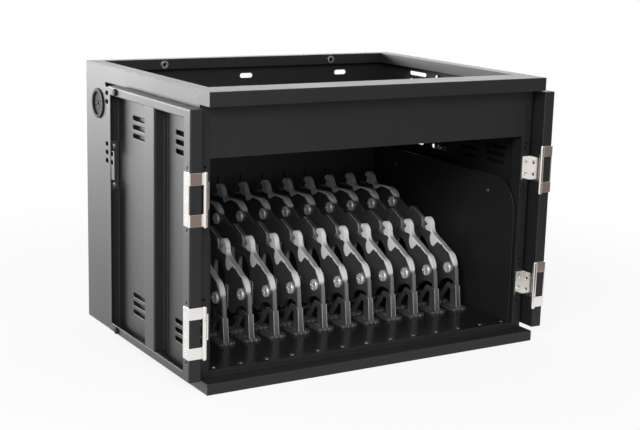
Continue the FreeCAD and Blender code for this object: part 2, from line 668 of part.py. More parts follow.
def divider():
    """One moulded comb plate with its rims, posts, feet, strap, lapped arm and bolt bosses."""
    half = DIVIDER_PLATE / 2
    raised = half + DIVIDER_RIM
    boss = half + BOLT_BOSS
    rise = math.radians(24.0)
    along = V(0, math.cos(rise), math.sin(rise))
    pieces = [
        slab(divider_outline(), -half, half),
        slab(front_rim(), -raised, raised),
        slab(rear_rim(), -raised, raised),
        slab(strap_outline(), -half + 0.6, half - 0.6),
        slab(upper_post(), -half - 0.5, half + 0.5),
        slab(lower_post(), -half - 1.4, half + 1.4),
        box(-half - 1.2, half + 1.2, 68.5, 72.0, divider_level(28.0), divider_level(60.0)),
        box(-half - 1.2, half + 1.2, 74.0, 76.5, divider_level(28.0), divider_level(60.0)),
        obround(V(-half - 1.0, 115.5, divider_level(115.0)), along, X_AXIS.cross(along), 41.0, 20.0, 2.0),
        rounded_foot(-2.0, 32.0),
        rounded_foot(42.0, 66.0),
        rounded_foot(105.0, 143.0),
    ]
    pieces += [rod(V(-boss, y, z), X_AXIS, BOLT_RADIUS + 1.4, 2 * boss) for y, z in bolt_seats()]
    loop_top = divider_level(98.4)
    loop = obround(V(0, 125.0, (10.4 + loop_top) / 2), Z_AXIS, Y_AXIS, loop_top - 10.4, 13.0, 4 * DIVIDER_PLATE)
    groove = obround(V(-half - 2.0, 113.4, divider_level(119.7)), along, X_AXIS.cross(along), 32.0, 1.4, 2.0)
    holes = [rod(V(-20, y, z), X_AXIS, BOLT_SHANK + HOLE_FIT, 40) for y, z in bolt_seats()]
    tail = V(0, DIVIDER_LENGTH - TAIL_SCREW_REACH, divider_level(TAIL_LEVEL))
    bite = rod(tail, Y_AXIS, SCREW_SHANK, 2 * TAIL_SCREW_REACH)
    return fuse(pieces).cut([loop, groove, bite] + holes)


def bolt(y, z):
    """Large cross-slotted bolt that closes the divider's moulding from the left."""
    seat = V(-DIVIDER_PLATE / 2 - BOLT_BOSS, y, z)
    head = rod(seat - X_AXIS * BOLT_HEAD, X_AXIS, BOLT_RADIUS, BOLT_HEAD)
    crown = seat.x - BOLT_HEAD
    rim = [e for e in head.Edges if e.BoundBox.XMax < crown + 0.01]
    head = head.makeFillet(BOLT_HEAD * 0.4, rim)
    shank = rod(seat, X_AXIS, BOLT_SHANK, DIVIDER_PLATE + 2 * BOLT_BOSS)
    depth = crown + BOLT_HEAD * 0.4
    reach = BOLT_RADIUS * 0.75
    width = BOLT_RADIUS / 8
    cross = [
        box(crown - 1, depth, y - reach, y + reach, z - width, z + width),
        box(crown - 1, depth, y - width, y + width, z - reach, z + reach),
    ]
    return fuse([head, shank]).cut(cross)


def divider_seat(x):
    """Where a divider stands: its leg on the floor, its tail against the rear liner."""
    return V(x, LINER_REAR - DIVIDER_LENGTH, FLOOR_LEVEL)


def divider_bolts():
    bolts = []
    for x in divider_places():
        for y, z in bolt_seats():
            piece = bolt(y, z)
            piece.translate(divider_seat(x))
            bolts.append(piece)
    return Part.makeCompound(bolts)


def tail_screws():
    """Screws through the rear liner into the dividers' tails."""
    screws = []
    height = FLOOR_LEVEL + divider_level(TAIL_LEVEL)
    for x in divider_places():
        head = rod(V(x, BACK_LINER_FACE, height), Y_AXIS, SCREW_HEAD, 2.0)
        start = LINER_REAR - TAIL_SCREW_REACH
        shank = rod(V(x, start, height), Y_AXIS, SCREW_SHANK, BACK_LINER_FACE - start)
        screws.append(fuse([head, shank]))
    return Part.makeCompound(screws)


# Cable grommet

def cable_grommet():
    """Rubber diaphragm in the left wall, slit like a star for the mains lead."""
    base = V(-HALF, GROMMET_PLACE, GROMMET_LEVEL)
    outer = rod(base - X_AXIS * 2.4, X_AXIS, GROMMET_RADIUS + 2.5, 2.4)
    rim = [e for e in outer.Edges if e.BoundBox.XMax < -HALF - 2.3]
    outer = outer.makeFillet(1.2, rim)
    neck = rod(base, X_AXIS, GROMMET_RADIUS, SHEET)
    inner = rod(base + X_AXIS * SHEET, X_AXIS, GROMMET_RADIUS + 2.0, 2.0)
    hollow = [
        rod(base - X_AXIS * 3, X_AXIS, GROMMET_RADIUS - 2.0, 3.0),
        rod(base + X_AXIS * SHEET, X_AXIS, GROMMET_RADIUS - 2.0, 4.0),
    ]
    slits = []
    for i in range(4):
        angle = math.radians(22.5 + 45 * i)
        along = V(0, math.cos(angle), math.sin(angle))
        slits.append(obround(base, along, X_AXIS.cross(along), 29.0, 0.8, 8.0))
    return fuse([outer, neck, inner]).cut(hollow + slits)


# Hinges, in a frame whose Z axis is the hinge axis and whose door is shut along +X

def knuckle(low, high, bore):
    tube = rod(V(0, 0, low), Z_AXIS, KNUCKLE_RADIUS, high - low)
    return tube, rod(V(0, 0, low - 1), Z_AXIS, bore, high - low + 2)


def leaf_screw_seats(level):
    """Heads of the two screws that hold a case leaf to the left post."""
    return [V(-AXIS_X + 9.3, POST_FACE - LEAF, level + reach) for reach in (-8.0, 8.0)]


def case_leaf(level):
    """Angle leaf on the post's face; its forward arm carries the middle knuckle."""
    low = level - LEAF_HEIGHT / 2
    high = level + LEAF_HEIGHT / 2
    post = POST_FACE - AXIS_Y
    tube, bore = knuckle(low, high, PIN_RADIUS + PIN_FIT)
    arm = box(1.0, 1.0 + LEAF, 1.9, post, low, high)
    plate = box(1.0, WRAP_WIDTH, post - LEAF, post, low, high)
    leaf = fuse([tube, arm, plate]).cut(bore)
    holes = [rod(V(0, 13.0, level + reach), X_AXIS, 2.0, 5.0) for reach in (-8.0, 8.0)]
    leaf = leaf.cut(holes)
    leaf.translate(V(-AXIS_X, AXIS_Y, 0))
    seats = [screw_seat(s, Y_AXIS, SCREW_HEAD, SCREW_SHANK, SCREW_LENGTH) for s in leaf_screw_seats(level)]
    return leaf.cut(seats)


def leaf_screws():
    """Countersunk screws that hold the case leaves."""
    screws = [
        screw(seat, Y_AXIS, SCREW_HEAD, SCREW_SHANK, SCREW_LENGTH)
        for level in HINGE_LEVELS
        for seat in leaf_screw_seats(level)
    ]
    return Part.makeCompound(screws + [mirrored(s) for s in screws])


def wrap_screw_seats(level):
    """Heads of the three screws that hold a wrap plate to the door's inside."""
    return [V(9.8, DOOR_INSIDE + LEAF, level + reach) for reach in (-22.0, 0.0, 22.0)]


def door_wrap(level):
    """Plate that wraps from the door's inside round its edge to the outer knuckles."""
    low = level - HINGE_HEIGHT / 2
    high = level + HINGE_HEIGHT / 2
    inner_low = level - LEAF_HEIGHT / 2 - KNUCKLE_GAP
    inner_high = level + LEAF_HEIGHT / 2 + KNUCKLE_GAP
    edge = CORNER - LEAF
    lower, lower_bore = knuckle(low, inner_low, PIN_RADIUS)
    upper, upper_bore = knuckle(inner_high, high, PIN_RADIUS)
    strip = box(edge, CORNER, 1.9, DOOR_INSIDE + LEAF, low, high)
    plate = box(edge, edge + WRAP_WIDTH, DOOR_INSIDE, DOOR_INSIDE + LEAF, low, high)
    window = box(-5, CORNER + 0.15, -5, DOOR_INSIDE + LEAF + 1, inner_low - 0.7, inner_high + 0.7)
    cover = fuse([strip, plate])
    bend = [e for e in cover.Edges
            if e.BoundBox.ZLength > HINGE_HEIGHT - 0.1 and abs(e.BoundBox.XMax - edge) < 0.01
            and e.BoundBox.YMin > DOOR_INSIDE]
    cover = cover.makeFillet(LEAF - 0.1, bend).cut(window)
    wrap = fuse([cover, lower, upper]).cut([lower_bore, upper_bore])
    seats = [screw_seat(s, -Y_AXIS, SCREW_HEAD, SCREW_SHANK, SCREW_LENGTH) for s in wrap_screw_seats(level)]
    return wrap.cut(seats)


def hinge_pin(level):
    """Pin with a button at each end, fast in the door's knuckles."""
    low = level - HINGE_HEIGHT / 2
    shaft = rod(V(0, 0, low), Z_AXIS, PIN_RADIUS, HINGE_HEIGHT)
    foot = rod(V(0, 0, low - 1.2), Z_AXIS, 2.4, 1.2)
    head = rod(V(0, 0, low + HINGE_HEIGHT), Z_AXIS, 2.4, 1.2)
    return fuse([shaft, foot, head])


# Doors, in the same frame

def door_pan(extra_cuts):
    """Folded door: outer sheet, four returns and the inward lips, with vents and fixing holes."""
    outer = box(CORNER, DOOR_EDGE, CORNER, DOOR_INSIDE, DOOR_BOTTOM, DOOR_TOP)
    outer = outer.makeFillet(1.4, outer.Edges)
    pocket = box(CORNER + DOOR_SHEET, DOOR_EDGE - DOOR_SHEET, CORNER + DOOR_SHEET, DOOR_INSIDE - DOOR_SHEET,
                 DOOR_BOTTOM + DOOR_SHEET, DOOR_TOP - DOOR_SHEET)
    mouth = box(CORNER + HINGE_LIP, DOOR_EDGE - FREE_LIP, CORNER + DOOR_SHEET, DOOR_INSIDE + 5,
                DOOR_BOTTOM + DOOR_LIP, DOOR_TOP - DOOR_LIP)
    cuts = [pocket, mouth] + extra_cuts
    for level in DOOR_VENT_LEVELS:
        for row in (-1, 0, 1):
            for place in DOOR_VENT_PLACES:
                centre = V(CORNER + place, CORNER, level + row * VENT_PITCH)
                cuts.append(obround(centre, X_AXIS, Z_AXIS, DOOR_VENT_LENGTH, VENT_HEIGHT, 4 * DOOR_SHEET))
    for level in HINGE_LEVELS:
        for seat in wrap_screw_seats(level):
            cuts.append(rod(seat, -Y_AXIS, SCREW_SHANK + HOLE_FIT, SCREW_LENGTH))
        for reach in (-37.0, 37.0):
            cuts.append(rod(V(9.8, DOOR_INSIDE + 1, level + reach), -Y_AXIS, 2.0, 4.0))
    for seat in bumper_seats():
        cuts.append(rod(seat + Y_AXIS, -Y_AXIS, 2.5, 5.0))
    return outer.cut(cuts)


def stiffener():
    """Hat section spot-welded to the outer sheet; its crown lies level with the lips."""
    middle = CORNER + STIFFENER_PLACE
    half = STIFFENER_WIDTH / 2
    low = DOOR_BOTTOM + DOOR_LIP
    high = DOOR_TOP - DOOR_LIP
    back = CORNER + DOOR_SHEET
    hat = box(middle - half, middle + half, back, DOOR_INSIDE, low, high)
    crown = [e for e in hat.Edges
             if e.BoundBox.ZLength > high - low - 0.1 and e.BoundBox.YMin > DOOR_INSIDE - 0.01]
    hat = hat.makeFillet(2.0, crown)
    hollow = box(middle - half + DOOR_SHEET, middle + half - DOOR_SHEET, back, DOOR_INSIDE - DOOR_SHEET,
                 low - 1, high + 1)
    reach = half + STIFFENER_FLANGE
    flanges = [
        box(middle - reach, middle - half + DOOR_SHEET, back, back + DOOR_SHEET, low, high),
        box(middle + half - DOOR_SHEET, middle + reach, back, back + DOOR_SHEET, low, high),
    ]
    return fuse([hat.cut(hollow)] + flanges)


def bumper_seats():
    place = DOOR_EDGE - BUMPER_INSET
    drop = DOOR_LIP / 2
    return [V(place, DOOR_INSIDE, level) for level in (DOOR_BOTTOM + drop, DOOR_TOP - drop)]


def bumpers():
    """Push-in rubber stops on the top and bottom lips."""
    stops = []
    for seat in bumper_seats():
        head = rod(seat, Y_AXIS, BUMPER_RADIUS, BUMPER_HEIGHT)
        rim = [e for e in head.Edges if e.BoundBox.YMin > DOOR_INSIDE + BUMPER_HEIGHT - 0.01]
        head = head.makeFillet(1.2, rim)
        neck = rod(seat, -Y_AXIS, 2.5, DOOR_SHEET)
        barb = Part.makeCone(3.1, 1.6, 2.6, seat - Y_AXIS * DOOR_SHEET, -Y_AXIS)
        stops.append(fuse([head, neck, barb]))
    return Part.makeCompound(stops)


def cam_slot(depth):
    """The slot that the lock's cam swings through, in both doors' meeting edges."""
    y0 = CAM_PLANE - 1.2
    y1 = CAM_PLANE + CAM_SHEET + 1.2
    half = CAM_SLOT_HEIGHT / 2
    return box(DOOR_EDGE - depth, DOOR_EDGE + 1, y0, y1, STRIKE_LEVEL - half, STRIKE_LEVEL + half)


def strike_rivet_seats():
    inner = DOOR_EDGE - DOOR_SHEET
    middle = CORNER + STRIKE_INSET + STRIKE_WIDTH / 2
    return [V(inner, middle, STRIKE_LEVEL + side * STRIKE_RIVET_REACH) for side in (-1, 1)]


def strike_plate():
    """Keeper on the inside of the left door's meeting edge."""
    inner = DOOR_EDGE - DOOR_SHEET
    half = STRIKE_HEIGHT / 2
    front = CORNER + STRIKE_INSET
    plate = box(inner - STRIKE_SHEET, inner, front, front + STRIKE_WIDTH, STRIKE_LEVEL - half, STRIKE_LEVEL + half)
    corners = [e for e in plate.Edges if e.BoundBox.XLength > STRIKE_SHEET - 0.01]
    plate = plate.makeFillet(2.5, corners)
    holes = [rod(s - X_AXIS * 2 * STRIKE_SHEET, X_AXIS, STRIKE_RIVET, 4 * STRIKE_SHEET)
             for s in strike_rivet_seats()]
    return plate.cut([cam_slot(6.0)] + holes)


def strike_rivets():
    rivets = []
    for seat in strike_rivet_seats():
        shank = rod(seat - X_AXIS * STRIKE_SHEET, X_AXIS, STRIKE_RIVET, STRIKE_SHEET + DOOR_SHEET)
        head = Part.makeCone(3.4, 2.2, 1.2, seat - X_AXIS * STRIKE_SHEET, -X_AXIS)
        rivets.append(fuse([head, shank]))
    return Part.makeCompound(rivets)


def strike_rivet_holes():
    return [rod(s - X_AXIS, X_AXIS, STRIKE_RIVET, 5.0) for s in strike_rivet_seats()]


# Lock in the right door, drawn as if that door were the left one

LOCK_SEAT = V(LOCK_PLACE, CORNER, LOCK_LEVEL)


def lock_hole():
    return rod(LOCK_SEAT - Y_AXIS * 2, Y_AXIS, LOCK_BODY_RADIUS, 5.0)


def lock_housing():
    """Barrel with a low bezel, held in the outer sheet by a nut."""
    bezel = rod(LOCK_SEAT - Y_AXIS * 2.2, Y_AXIS, 11.5, 2.2)
    rim = [e for e in bezel.Edges if e.BoundBox.YMax < CORNER - 2.1]
    bezel = bezel.makeFillet(1.0, rim)
    barrel = rod(LOCK_SEAT, Y_AXIS, LOCK_BODY_RADIUS, 9.6)
    bore = rod(LOCK_SEAT - Y_AXIS * 5, Y_AXIS, PLUG_RADIUS + 0.08, 20.0)
    return fuse([bezel, barrel]).cut(bore)


def hexagon(centre, radius):
    """A flat six-sided outline in the door's plane."""
    corners = []
    for i in range(7):
        angle = math.radians(60 * i)
        corners.append(centre + X_AXIS * radius * math.cos(angle) + Z_AXIS * radius * math.sin(angle))
    return Part.Face(Part.makePolygon(corners))


def lock_nut():
    start = LOCK_SEAT + Y_AXIS * DOOR_SHEET
    nut = hexagon(start, 13.0).extrude(V(0, 4.5, 0))
    return nut.cut(rod(start - Y_AXIS, Y_AXIS, LOCK_BODY_RADIUS, 8.0))


def lock_plug():
    """Turning plug with its keyway and the spigot that carries the cam."""
    body = rod(LOCK_SEAT - Y_AXIS * 2.6, Y_AXIS, PLUG_RADIUS, CAM_PLANE - CORNER + 2.6)
    spigot = rod(V(LOCK_PLACE, CAM_PLANE, LOCK_LEVEL), Y_AXIS, 3.0, CAM_SHEET)
    keyway = box(LOCK_PLACE - 0.9, LOCK_PLACE + 0.9, CORNER - 4, CORNER + 5, LOCK_LEVEL - 4, LOCK_LEVEL + 4)
    return fuse([body, spigot]).cut(keyway)


def lock_cam():
    """Flat cam, pointing up when the lock is open."""
    half = CAM_WIDTH / 2
    tip = LOCK_LEVEL + CAM_LENGTH - half
    bar = obround(V(LOCK_PLACE, CAM_PLANE + CAM_SHEET / 2, (LOCK_LEVEL + tip) / 2), Z_AXIS, X_AXIS,
                  tip - LOCK_LEVEL + CAM_WIDTH, CAM_WIDTH, CAM_SHEET)
    return bar.cut(rod(V(LOCK_PLACE, CAM_PLANE - 1, LOCK_LEVEL), Y_AXIS, 3.0, 6.0))


def cam_nut():
    start = V(LOCK_PLACE, CAM_PLANE + CAM_SHEET, LOCK_LEVEL)
    return hexagon(start, 5.0).extrude(V(0, 1.8, 0))


def open_left(shape):
    """Fold a shut door piece right back along the left side of the case."""
    moved = shape.copy()
    moved.rotate(V(0, 0, 0), Z_AXIS, 90)
    moved.translate(V(-AXIS_X, AXIS_Y, 0))
    return moved


def open_right(shape):
    return mirrored(open_left(shape))


def wrap_screws():
    return Part.makeCompound([
        screw(seat, -Y_AXIS, SCREW_HEAD, SCREW_SHANK, SCREW_LENGTH)
        for level in HINGE_LEVELS
        for seat in wrap_screw_seats(level)
    ])


def save_case():
    wall = left_wall()
    grommet_hole = rod(V(-HALF - 5, GROMMET_PLACE, GROMMET_LEVEL), X_AXIS, GROMMET_RADIUS, 10.0)
    liner = left_liner()
    post = left_post()
    rail = left_rail()
    save("base_pan", base_pan())
    save("front_sill", front_sill())
    save("side_panel_left", wall.cut(grommet_hole))
    save("side_panel_right", mirrored(wall))
    save("back_panel", back_panel())
    save("top_rail_front", front_rail())
    save("top_rail_left", rail)
    save("top_rail_right", mirrored(rail))
    save("top_rail_rear", rear_rail())
    save("rivet_nuts", rivet_nuts())
    save("header_panel", header_panel())
    save("front_post_left", post)
    save("front_post_right", mirrored(post))
    save("device_floor", device_floor())
    save("floor_rivets", floor_rivets())
    save("side_liner_left", liner)
    save("side_liner_right", mirrored(liner))
    save("liner_screws", liner_screws())
    save("liner_standoffs", liner_standoffs())
    save("back_liner", back_liner())
    save("equipment_shelf", equipment_shelf())
    save("outlet_strip", outlet_strip())
    save("cable_grommet", cable_grommet())


def save_dividers():
    pattern = divider()
    for number, x in enumerate(divider_places(), 1):
        piece = pattern.copy()
        piece.translate(divider_seat(x))
        save("divider_%02d" % number, piece)
    save("divider_bolts", divider_bolts())
    save("tail_screws", tail_screws())


def save_hinges():
    leaves = [case_leaf(level) for level in HINGE_LEVELS]
    wraps = Part.makeCompound([door_wrap(level) for level in HINGE_LEVELS])
    pins = Part.makeCompound([hinge_pin(level) for level in HINGE_LEVELS])
    save("hinge_leaves_left", Part.makeCompound(leaves))
    save("hinge_leaves_right", Part.makeCompound([mirrored(leaf) for leaf in leaves]))
    save("hinge_leaf_screws", leaf_screws())
    for side, place in (("left", open_left), ("right", open_right)):
        save(side + "_hinge_wraps", place(wraps))
        save(side + "_hinge_pins", place(pins))
        save(side + "_wrap_screws", place(wrap_screws()))


def save_doors():
    left_pan = door_pan([cam_slot(2 * DOOR_SHEET)] + strike_rivet_holes())
    right_pan = door_pan([cam_slot(2 * DOOR_SHEET), lock_hole()])
    save("left_door_pan", open_left(left_pan))
    save("right_door_pan", open_right(right_pan))
    for side, place in (("left", open_left), ("right", open_right)):
        save(side + "_door_stiffener", place(stiffener()))
        save(side + "_door_bumpers", place(bumpers()))
    save("strike_plate", open_left(strike_plate()))
    save("strike_rivets", open_left(strike_rivets()))
    save("lock_housing", open_right(lock_housing()))
    save("lock_nut", open_right(lock_nut()))
    save("lock_plug", open_right(lock_plug()))
    save("lock_cam", open_right(lock_cam()))
    save("cam_nut", open_right(cam_nut()))


os.makedirs("parts", exist_ok=True)
save_case()
save_dividers()
save_hinges()
save_doors()
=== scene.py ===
import math

import bpy
from bpy.props import FloatProperty, FloatVectorProperty, PointerProperty
from mathutils import Matrix, Vector

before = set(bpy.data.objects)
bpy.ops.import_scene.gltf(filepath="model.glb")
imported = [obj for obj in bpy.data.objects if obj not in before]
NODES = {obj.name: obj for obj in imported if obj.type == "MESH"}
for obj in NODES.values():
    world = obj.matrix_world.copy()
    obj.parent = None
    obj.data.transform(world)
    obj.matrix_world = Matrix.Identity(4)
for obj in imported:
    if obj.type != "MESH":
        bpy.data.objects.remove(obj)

bl_info = {
    "name": "Charging Cabinet",
    "version": (1, 0, 0),
    "blender": (4, 2, 0),
    "location": "View3D > Sidebar > Cabinet",
    "description": "Finishes the pieces of a tablet charging cabinet and sets up its studio",
    "category": "Object",
}

CASE = ("base_pan", "front_sill", "side_panel_left", "side_panel_right", "back_panel", "top_rail_front",
        "top_rail_left", "top_rail_right", "top_rail_rear", "header_panel", "front_post_left", "front_post_right")
LINING = ("side_liner_left", "side_liner_right", "back_liner", "equipment_shelf")
DOORS = ("left_door_pan", "right_door_pan", "left_door_stiffener", "right_door_stiffener")
HINGES = ("hinge_leaves_left", "hinge_leaves_right", "left_hinge_wraps", "right_hinge_wraps",
          "left_hinge_pins", "right_hinge_pins")
FASTENERS = ("rivet_nuts", "floor_rivets", "liner_standoffs", "hinge_leaf_screws", "tail_screws",
             "left_wrap_screws", "right_wrap_screws", "strike_rivets", "lock_nut", "cam_nut")
LOCK = ("lock_housing", "lock_plug", "lock_cam")
RUBBER = ("cable_grommet", "left_door_bumpers", "right_door_bumpers")
DIVIDERS = tuple("divider_%02d" % number for number in range(1, 13))

# Painted highlights along a divider's upper edge, front to back: lens, strip, head, plain arm, lens, strip, head; the
# rear ones dimmer as painted shade
COMB_HIGHLIGHT_START = -0.075
COMB_HIGHLIGHT_END = 0.175
COMB_HIGHLIGHT_TONES = ((0.0, 0.65), (0.068, 0.60), (0.08, 0.28), (0.225, 0.30), (0.26, 0.9), (0.318, 0.9), (0.326, 0.0),
              (0.61, 0.0), (0.63, 0.45), (0.70, 0.35), (0.73, 0.2), (0.84, 0.2), (0.88, 0.4), (1.0, 0.4))

# Heights over which the painted highlight along a divider's upper edge begins, and over which the painted highlight
# on its legs' fronts grows from painted shade near the floor
COMB_HIGHLIGHT_RISE = (0.081, 0.087)
LEG_HIGHLIGHT_RISE = (0.02, 0.08)
RIM_TOLERANCE = 0.00015

DUST = (0.36, 0.35, 0.34)

# Lamps: name, place, aim, width, height, and whether they light matt surfaces or are only mirrored
LAMPS = (("key", (-1.34, -1.50, 1.10), (0.0, -0.05, 0.12), 1.3, 0.6, True),
         ("side", (-3.30, 4.70, 0.95), (-0.2, 0.0, 0.15), 4.6, 1.8, False),
         ("back", (1.3, 1.9, 1.05), (0.0, 0.0, 0.35), 3.0, 1.4, True))

# Table top that the fronts mirror: corners, and its height above the floor
TABLE_CORNERS = ((-0.06, -4.0), (4.0, -4.0), (4.0, -0.40), (-0.06, -0.40))
TABLE_LIFT = 0.002

# Distances from the middle between which the floor runs out into white
FLOOR_FADE = (0.45, 1.1)


def colour(name, description, default):
    return FloatVectorProperty(name=name, description=description, default=default, subtype="COLOR",
                               size=3, min=0.0, max=1.0)


def share(name, description, default):
    return FloatProperty(name=name, description=description, default=default, subtype="FACTOR", min=0.0, max=1.0)


def length(name, description, default):
    return FloatProperty(name=name, description=description, default=default, unit="LENGTH", min=0.0)


def place(name, description, default):
    return FloatVectorProperty(name=name, description=description, default=default, subtype="XYZ", unit="LENGTH",
                               size=3)


def power(name, description, default):
    return FloatProperty(name=name, description=description, default=default, unit="POWER", min=0.0)


class CabinetFinish(bpy.types.PropertyGroup):
    """Colours and surface sizes of the cabinet's finishes, and the tones of the painted highlights on the dividers.
    """

    coat: colour("Powder coat", "Colour of the case's powder coat", (0.0088, 0.0087, 0.0093))
    coat_roughness: share("Coat roughness", "Roughness of the case's powder coat", 0.48)
    door_roughness: share("Door roughness", "Roughness of the doors' powder coat", 0.50)
    floor_roughness: share("Floor roughness", "Roughness of the raised floor", 0.24)
    coat_specular: share("Coat reflection", "Strength of the powder coat's reflection", 0.33)
    grain: length("Grain", "Width of the powder coat's fine grain", 0.0011)
    sheet_edge: length("Sheet edge", "Radius of the case's folded and cut sheet edges", 0.0007)
    door_edge: length("Door edge", "Radius of the doors' folds", 0.0018)
    plastic: colour("Dividers", "Colour of the moulded dividers", (0.050, 0.050, 0.054))
    # Painted highlights on the dividers' legs, upper edges and raised rims, laid over the glossy black plastic
    leg_highlight: colour("Divider legs", "Tone of the faces that turn at the dividers' legs", (0.135, 0.135, 0.142))
    comb: colour("Divider combs", "Tone of the faces that turn along the dividers' upper edges", (0.78, 0.78, 0.79))
    rim_highlight: colour("Divider rims", "Satin tone of the dividers' raised rims", (0.82, 0.82, 0.83))
    rim_level: length("Rim level", "Distance of a rim's face from the divider's middle", 0.0034)
    plastic_roughness: share("Divider roughness", "Roughness of the moulded dividers", 0.30)
    plastic_edge: length("Divider edge", "Radius of the moulded edges", 0.0012)
    nickel: colour("Nickel", "Colour of the hinges' nickel plate", (0.84, 0.82, 0.79))
    zinc: colour("Zinc", "Colour of the plated fasteners", (0.70, 0.70, 0.70))
    lock_plate: colour("Lock", "Colour of the lock's plate", (0.66, 0.65, 0.63))
    strike_steel: colour("Strike", "Colour of the blackened strike plate and liner screws", (0.13, 0.135, 0.15))
    rubber: colour("Rubber", "Colour of the rubber pieces", (0.010, 0.010, 0.011))
    strip: colour("Outlet strip", "Colour of the outlet strip's coat", (0.12, 0.12, 0.125))


class CabinetStudio(bpy.types.PropertyGroup):
    """Camera, lamps and floor."""

    eye: place("Camera", "Where the camera stands", (-0.9242, -1.5529, 0.5497))
    aim: place("Aim", "What the camera looks at", (-0.0071, -0.0425, 0.1715))
    roll: FloatProperty(name="Roll", description="Turn of the camera about its own axis", default=math.radians(1.52),
                        unit="ROTATION")
    lens: FloatProperty(name="Lens", description="Focal length on a 36 mm sensor", default=74.64, unit="CAMERA",
                        min=1.0)
    floor_size: length("Floor", "Width of the floor", 16.0)
    floor_colour: colour("Floor colour", "Colour of the floor", (0.80, 0.80, 0.80))
    floor_lift: share("Floor lift", "How much the floor is lifted towards white", 0.86)
    sky: share("Sky", "Strength of the light that falls from all round", 0.37)
    table: colour("Table", "Colour of the table top that the fronts mirror", (0.12, 0.08, 0.065))
    key_power: power("Key lamp", "Power of the lamp in front on the left", 48.0)
    side_power: power("Side lamp", "Power of the large lamp behind on the left", 760.0)
    back_power: power("Back lamp", "Power of the lamp behind, above the picture", 31.0)


def add(tree, kind, **settings):
    """Add a node; a setting is the name of one of its sockets, with _ for a space, or one of its attributes."""
    node = tree.nodes.new(kind)
    for key, value in settings.items():
        socket = node.inputs.get(key.replace("_", " "))
        if socket is None:
            setattr(node, key, value)
        else:
            socket.default_value = value
    return node


def group(name, inputs, outputs):
    """A new shader node group with its ends; inputs and outputs are pairs of name and socket kind."""
    tree = bpy.data.node_groups.new(name, "ShaderNodeTree")
    for label, kind in inputs:
        tree.interface.new_socket(name=label, in_out="INPUT", socket_type="NodeSocket" + kind)
    for label, kind in outputs:
        tree.interface.new_socket(name=label, in_out="OUTPUT", socket_type="NodeSocket" + kind)
    return tree, tree.nodes.new("NodeGroupInput"), tree.nodes.new("NodeGroupOutput")


def math_node(tree, operation, first, second):
    """A Math node; first and second are sockets or numbers."""
    node = add(tree, "ShaderNodeMath", operation=operation)
    for socket, value in zip(node.inputs, (first, second)):
        if isinstance(value, (int, float)):
            socket.default_value = value
        else:
            tree.links.new(value, socket)
    return node.outputs[0]


def ranged(tree, value, low, high):
    """A smooth step from 0 at one value to 1 at another."""
    node = add(tree, "ShaderNodeMapRange", interpolation_type="SMOOTHSTEP", From_Min=low, From_Max=high)
    tree.links.new(value, node.inputs["Value"])
    return node.outputs["Result"]


def grain_group():
    """Fine grain: a small height and a spread of roughness from two sizes of noise."""
    tree, start, end = group("Fine grain", [("Size", "Float"), ("Spread", "Float")],
                             [("Height", "Float"), ("Roughness", "Float")])
    where = add(tree, "ShaderNodeTexCoord")
    density = math_node(tree, "DIVIDE", 1.0, start.outputs["Size"])
    fine = add(tree, "ShaderNodeTexNoise", Detail=2.0)
    tree.links.new(where.outputs["Object"], fine.inputs["Vector"])
    tree.links.new(density, fine.inputs["Scale"])
    broad = add(tree, "ShaderNodeTexNoise", Scale=9.0, Detail=3.0)
    tree.links.new(where.outputs["Object"], broad.inputs["Vector"])
    both = math_node(tree, "ADD", fine.outputs["Fac"], broad.outputs["Fac"])
    centred = math_node(tree, "SUBTRACT", both, 1.0)
    tree.links.new(fine.outputs["Fac"], end.inputs["Height"])
    tree.links.new(math_node(tree, "MULTIPLY", centred, start.outputs["Spread"]), end.inputs["Roughness"])
    return tree


def edge_group():
    """Rounded edges: the normal turned over a small radius, and a mask of where it turns."""
    tree, start, end = group("Rounded edges", [("Radius", "Float")], [("Normal", "Vector"), ("Edge", "Float")])
    bevel = add(tree, "ShaderNodeBevel", samples=6)
    tree.links.new(start.outputs["Radius"], bevel.inputs["Radius"])
    flat = add(tree, "ShaderNodeNewGeometry")
    dot = add(tree, "ShaderNodeVectorMath", operation="DOT_PRODUCT")
    tree.links.new(bevel.outputs["Normal"], dot.inputs[0])
    tree.links.new(flat.outputs["Normal"], dot.inputs[1])
    turned = math_node(tree, "SUBTRACT", 1.0, dot.outputs["Value"])
    tree.links.new(bevel.outputs["Normal"], end.inputs["Normal"])
    tree.links.new(math_node(tree, "MULTIPLY", turned, 3.0), end.inputs["Edge"])
    return tree


def dust_group():
    """Thin dust: more of it where a face looks up, broken by noise."""
    tree, start, end = group("Thin dust", [("Amount", "Float")], [("Dust", "Float")])
    face = add(tree, "ShaderNodeNewGeometry")
    parts = add(tree, "ShaderNodeSeparateXYZ")
    tree.links.new(face.outputs["Normal"], parts.inputs[0])
    up = math_node(tree, "MAXIMUM", parts.outputs["Z"], 0.15)
    where = add(tree, "ShaderNodeTexCoord")
    noise = add(tree, "ShaderNodeTexNoise", Scale=34.0, Detail=6.0, Roughness=0.7)
    tree.links.new(where.outputs["Object"], noise.inputs["Vector"])
    broken = math_node(tree, "MULTIPLY", up, noise.outputs["Fac"])
    tree.links.new(math_node(tree, "MULTIPLY", broken, start.outputs["Amount"]), end.inputs["Dust"])
    return tree


def effect(tree, maker, **values):
    """Place a shared effect in a material; the group is made once."""
    names = {grain_group: "Fine grain", edge_group: "Rounded edges", dust_group: "Thin dust",
             highlight_mask_group: "Moulded rims"}
    made = bpy.data.node_groups.get(names[maker]) or maker()
    node = add(tree, "ShaderNodeGroup", node_tree=made)
    for key, value in values.items():
        node.inputs[key].default_value = value
    return node


